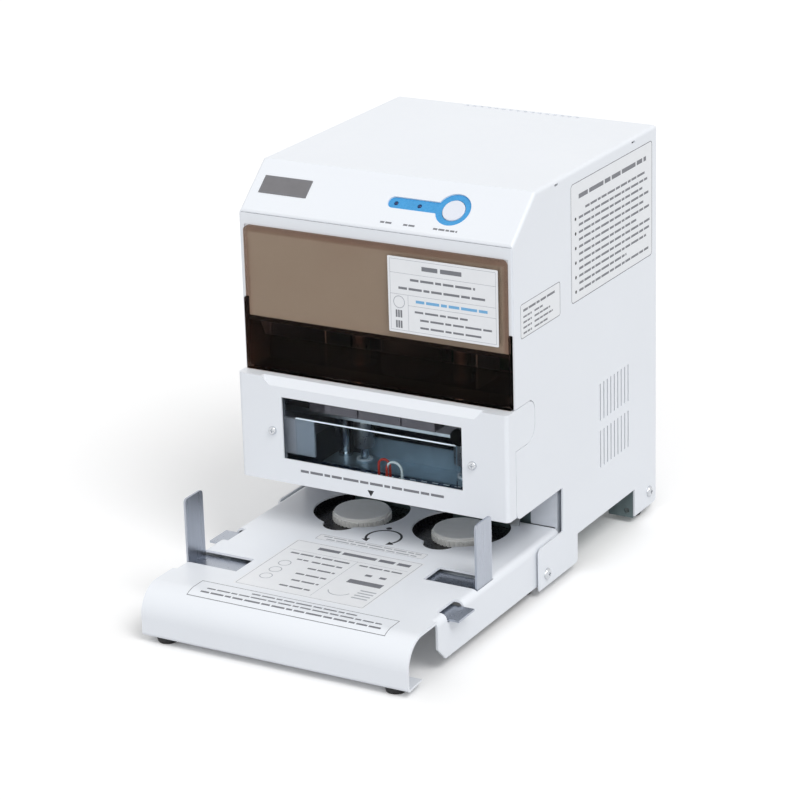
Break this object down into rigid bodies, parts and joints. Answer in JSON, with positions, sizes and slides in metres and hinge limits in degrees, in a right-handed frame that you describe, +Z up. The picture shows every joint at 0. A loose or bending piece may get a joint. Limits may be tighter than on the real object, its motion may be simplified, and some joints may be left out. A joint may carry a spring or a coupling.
{
  "type": "electric hole punch",
  "caption": "Desktop electric paper drill: white steel casing over a paper table with side guides, turnable anvil discs, windowed front and smoked chip box.",
  "frame": {"origin": "centre of the footprint on the desk, under the rubber feet", "axes": "+X to the right seen from the front, front faces -Y, +Z up"},
  "size_m": [0.2208, 0.366, 0.29],
  "materials": {
    "white_paint": "smooth satin white paint on folded sheet",
    "zinc_sheet": "zinc plated sheet",
    "bright_steel": "bright rolled steel",
    "polished_steel": "ground and polished",
    "machined_steel": "turned and milled",
    "bronze": "turned bush",
    "black_casting": "black painted casting",
    "disc_plastic": "off-white moulding",
    "smoked_plastic": "smoked clear moulding",
    "clear_plastic": "clear sheet",
    "blue_plastic": "blue moulding",
    "button_plastic": "white moulding",
    "lamp_plastic": "dark blue lens",
    "grey_moulding": "grey moulded housing",
    "black_plastic": "black moulding",
    "black_rubber": "matt rubber",
    "motor_shell": "dark enamel",
    "circuit_board": "green lacquered board",
    "lead_rubber": "soft covered wire"
  },
  "bodies": {
    "chassis": {"back_gauge": "zinc_sheet", "back_panel": "white_paint", "base_casting": "black_casting", "body_cover": "white_paint", "bottom_plate": "zinc_sheet", "box_shelf": "zinc_sheet", "case_screws": "polished_steel", "control_board": "circuit_board", "corner_feet": "black_rubber", "cover_screws": "polished_steel", "face_frame": "white_paint", "feed_bracket": "zinc_sheet", "feed_gear_motor": "motor_shell", "front_cover": "white_paint", "fuse_holder": "black_plastic", "guide_carrier": "zinc_sheet", "guide_columns": "polished_steel", "inner_shield": "clear_plastic", "machine_deck": "zinc_sheet", "middle_feet": "black_rubber", "panel_escutcheon": "blue_plastic", "power_inlet": "black_plastic", "power_transformer": "motor_shell", "rear_foot_brackets": "zinc_sheet", "sensor_leads": "lead_rubber", "shield_bumper": "black_rubber", "side_frame_left": "zinc_sheet", "side_frame_right": "zinc_sheet", "start_switch": "black_plastic", "status_lamps": "lamp_plastic", "switch_frame": "black_plastic", "table_plate": "white_paint", "top_bridge": "zinc_sheet", "window_pane": "clear_plastic"},
    "chip_box": {"chip_box": "smoked_plastic"},
    "guide_left": {"side_guide_left": "bright_steel"},
    "guide_right": {"side_guide_right": "bright_steel"},
    "guide_pinion": {"guide_pinion": "machined_steel"},
    "disc_left": {"anvil_disc_left": "disc_plastic"},
    "disc_right": {"anvil_disc_right": "disc_plastic"},
    "head": {"head_plate": "zinc_sheet", "column_bushes": "bronze", "head_housing": "grey_moulding", "spindle_bearings": "polished_steel", "drill_motor": "motor_shell", "chip_chute": "zinc_sheet", "feed_rack": "machined_steel", "clamp_springs": "machined_steel"},
    "clamp": {"clamp_plate": "bright_steel", "clamp_rods": "polished_steel"},
    "spindle_left": {"spindle_left": "machined_steel", "spindle_gear_left": "machined_steel", "hollow_drill_left": "polished_steel"},
    "spindle_right": {"spindle_right": "machined_steel", "spindle_gear_right": "machined_steel", "hollow_drill_right": "polished_steel"},
    "motor_rotor": {"motor_pinion": "machined_steel"},
    "feed_pinion": {"feed_pinion": "machined_steel"},
    "start_button": {"start_button": "button_plastic"},
    "power_rocker": {"power_rocker": "black_plastic"}
  },
  "joints": [
    {"name": "head_slide", "type": "slide", "parent": "chassis", "child": "head", "axis": [0, 0, -1], "range_m": [0, 0.0364]},
    {"name": "clamp_slide", "type": "slide", "parent": "head", "child": "clamp", "axis": [0, 0, 1], "range_m": [0, 0.0054], "deforming": ["clamp_springs"]},
    {"name": "feed_turn", "type": "hinge", "parent": "chassis", "child": "feed_pinion", "pos_m": [0, 0.069, 0.17], "axis": [1, 0, 0], "range_deg": [0, 232]},
    {"name": "drill_left_spin", "type": "hinge", "parent": "head", "child": "spindle_left", "pos_m": [-0.04, 0.0114, 0.137], "axis": [0, 0, 1], "continuous": true},
    {"name": "drill_right_spin", "type": "hinge", "parent": "head", "child": "spindle_right", "pos_m": [0.04, 0.0114, 0.137], "axis": [0, 0, 1], "continuous": true},
    {"name": "motor_spin", "type": "hinge", "parent": "head", "child": "motor_rotor", "pos_m": [0, 0.0114, 0.137], "axis": [0, 0, 1], "continuous": true},
    {"name": "chip_box_slide", "type": "slide", "parent": "chassis", "child": "chip_box", "axis": [0, -1, 0], "range_m": [0, 0.06]},
    {"name": "guide_left_slide", "type": "slide", "parent": "chassis", "child": "guide_left", "axis": [1, 0, 0], "range_m": [0, 0.038]},
    {"name": "guide_right_slide", "type": "slide", "parent": "chassis", "child": "guide_right", "axis": [-1, 0, 0], "range_m": [0, 0.038]},
    {"name": "guide_pinion_turn", "type": "hinge", "parent": "chassis", "child": "guide_pinion", "pos_m": [0, -0.09635, 0.0298], "axis": [0, 0, 1], "range_deg": [0, 218]},
    {"name": "disc_left_turn", "type": "hinge", "parent": "chassis", "child": "disc_left", "pos_m": [-0.04, 0.0044, 0.035], "axis": [0, 0, 1], "continuous": true},
    {"name": "disc_right_turn", "type": "hinge", "parent": "chassis", "child": "disc_right", "pos_m": [0.04, 0.0044, 0.035], "axis": [0, 0, 1], "continuous": true},
    {"name": "start_button_press", "type": "slide", "parent": "chassis", "child": "start_button", "axis": [0, 0.6457, -0.7636], "range_m": [0, 0.0015], "stiffness_N_per_m": 400},
    {"name": "power_rocker_tip", "type": "hinge", "parent": "chassis", "child": "power_rocker", "pos_m": [-0.022, 0.1768, 0.056], "axis": [1, 0, 0], "range_deg": [0, 14]}
  ],
  "couplings": [
    {"joint": "clamp_slide", "follows": "head_slide", "ratio": 0.14835},
    {"joint": "feed_turn", "follows": "head_slide", "rad_per_m": 111.11},
    {"joint": "drill_right_spin", "follows": "drill_left_spin", "ratio": 1},
    {"joint": "motor_spin", "follows": "drill_left_spin", "ratio": -1.2222},
    {"joint": "guide_right_slide", "follows": "guide_left_slide", "ratio": 1},
    {"joint": "guide_pinion_turn", "follows": "guide_left_slide", "rad_per_m": 100}
  ]
}
